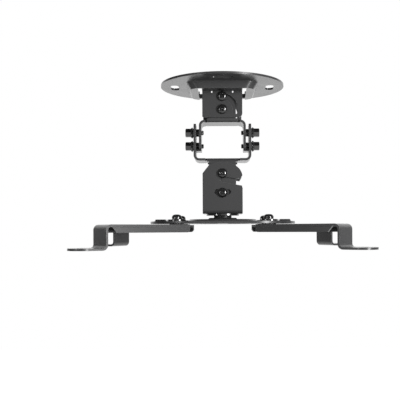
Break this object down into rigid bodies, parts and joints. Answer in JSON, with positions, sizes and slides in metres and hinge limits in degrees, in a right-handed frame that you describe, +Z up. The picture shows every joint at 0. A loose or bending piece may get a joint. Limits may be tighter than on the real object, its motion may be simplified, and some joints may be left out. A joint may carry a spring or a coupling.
{
  "type": "projector ceiling mount",
  "caption": "Ceiling mount for a projector: round ceiling plate, folded tilting brackets, swivel, and a spider plate with slotted arms that end in feet with screw holes.",
  "frame": {"origin": "centre of the ceiling plate's upper face, on the ceiling", "axes": "+Z up into the ceiling, +X to the right and +Y to the back as seen from the front, which is the side the picture shows"},
  "size_m": [0.2808, 0.1883, 0.1615],
  "materials": {
    "satin_black": "satin powder coat",
    "gloss_black": "glossy black plated steel",
    "black_plastic": "matte"
  },
  "bodies": {
    "ceiling": {"ceiling_plate": "satin_black", "ceiling_bracket": "satin_black"},
    "upper": {"upper_cross_bracket": "satin_black", "top_pivot_screw_front": "gloss_black", "top_pivot_screw_rear": "gloss_black", "top_lock_screw_front": "gloss_black", "top_lock_screw_rear": "gloss_black", "side_pivot_bolt_left": "gloss_black", "side_pivot_bolt_right": "gloss_black", "side_lock_bolt_left": "gloss_black", "side_lock_bolt_right": "gloss_black", "side_pivot_washer_left": "gloss_black", "side_pivot_washer_right": "gloss_black", "side_lock_washer_left": "gloss_black", "side_lock_washer_right": "gloss_black"},
    "lower": {"lower_cross_bracket": "satin_black", "hang_screw_front": "gloss_black", "hang_screw_rear": "gloss_black", "roll_lock_screw_front": "gloss_black", "roll_lock_screw_rear": "gloss_black"},
    "drop": {"drop_bracket": "satin_black"},
    "spider": {"spider_plate": "satin_black", "swivel_bolt": "gloss_black", "swivel_nut": "gloss_black", "swivel_nut_washer": "gloss_black", "swivel_top_washer": "gloss_black", "swivel_spacer": "black_plastic", "swivel_lower_washer": "black_plastic"},
    "post_front_left": {"arm_screw_front_left": "gloss_black", "arm_spring_washer_front_left": "gloss_black", "arm_top_washer_front_left": "gloss_black", "arm_lower_washer_front_left": "black_plastic", "arm_nut_front_left": "gloss_black"},
    "post_front_right": {"arm_screw_front_right": "gloss_black", "arm_spring_washer_front_right": "gloss_black", "arm_top_washer_front_right": "gloss_black", "arm_lower_washer_front_right": "black_plastic", "arm_nut_front_right": "gloss_black"},
    "post_rear_left": {"arm_screw_rear_left": "gloss_black", "arm_spring_washer_rear_left": "gloss_black", "arm_top_washer_rear_left": "gloss_black", "arm_lower_washer_rear_left": "black_plastic", "arm_nut_rear_left": "gloss_black"},
    "post_rear_right": {"arm_screw_rear_right": "gloss_black", "arm_spring_washer_rear_right": "gloss_black", "arm_top_washer_rear_right": "gloss_black", "arm_lower_washer_rear_right": "black_plastic", "arm_nut_rear_right": "gloss_black"},
    "arm_front_left": {"arm_front_left": "satin_black"},
    "arm_front_right": {"arm_front_right": "satin_black"},
    "arm_rear_left": {"arm_rear_left": "satin_black"},
    "arm_rear_right": {"arm_rear_right": "satin_black"}
  },
  "joints": [
    {"name": "top_tilt", "type": "hinge", "parent": "ceiling", "child": "upper", "pos_m": [0, 0, -0.0265], "axis": [0, 1, 0], "range_deg": [0, 45]},
    {"name": "middle_tilt", "type": "hinge", "parent": "upper", "child": "lower", "pos_m": [0, 0, -0.0605], "axis": [1, 0, 0], "range_deg": [-15, 15]},
    {"name": "low_tilt", "type": "hinge", "parent": "lower", "child": "drop", "pos_m": [0, 0, -0.0889], "axis": [0, 1, 0], "range_deg": [-15, 15]},
    {"name": "swivel", "type": "hinge", "parent": "drop", "child": "spider", "pos_m": [0, 0, -0.1285], "axis": [0, 0, 1], "continuous": true},
    {"name": "arm_turn_front_left", "type": "hinge", "parent": "spider", "child": "post_front_left", "pos_m": [-0.0437, -0.032, -0.1388], "axis": [0, 0, 1], "range_deg": [-20, 20]},
    {"name": "arm_slide_front_left", "type": "slide", "parent": "post_front_left", "child": "arm_front_left", "axis": [0.8192, 0.5736, 0], "range_m": [0, 0.02]},
    {"name": "arm_turn_front_right", "type": "hinge", "parent": "spider", "child": "post_front_right", "pos_m": [0.0437, -0.032, -0.1388], "axis": [0, 0, 1], "range_deg": [-20, 20]},
    {"name": "arm_slide_front_right", "type": "slide", "parent": "post_front_right", "child": "arm_front_right", "axis": [-0.8192, 0.5736, 0], "range_m": [0, 0.02]},
    {"name": "arm_turn_rear_left", "type": "hinge", "parent": "spider", "child": "post_rear_left", "pos_m": [-0.0437, 0.032, -0.1388], "axis": [0, 0, 1], "range_deg": [-20, 20]},
    {"name": "arm_slide_rear_left", "type": "slide", "parent": "post_rear_left", "child": "arm_rear_left", "axis": [0.891, -0.454, 0], "range_m": [0, 0.02]},
    {"name": "arm_turn_rear_right", "type": "hinge", "parent": "spider", "child": "post_rear_right", "pos_m": [0.0437, 0.032, -0.1388], "axis": [0, 0, 1], "range_deg": [-20, 20]},
    {"name": "arm_slide_rear_right", "type": "slide", "parent": "post_rear_right", "child": "arm_rear_right", "axis": [-0.891, -0.454, 0], "range_m": [0, 0.02]}
  ]
}
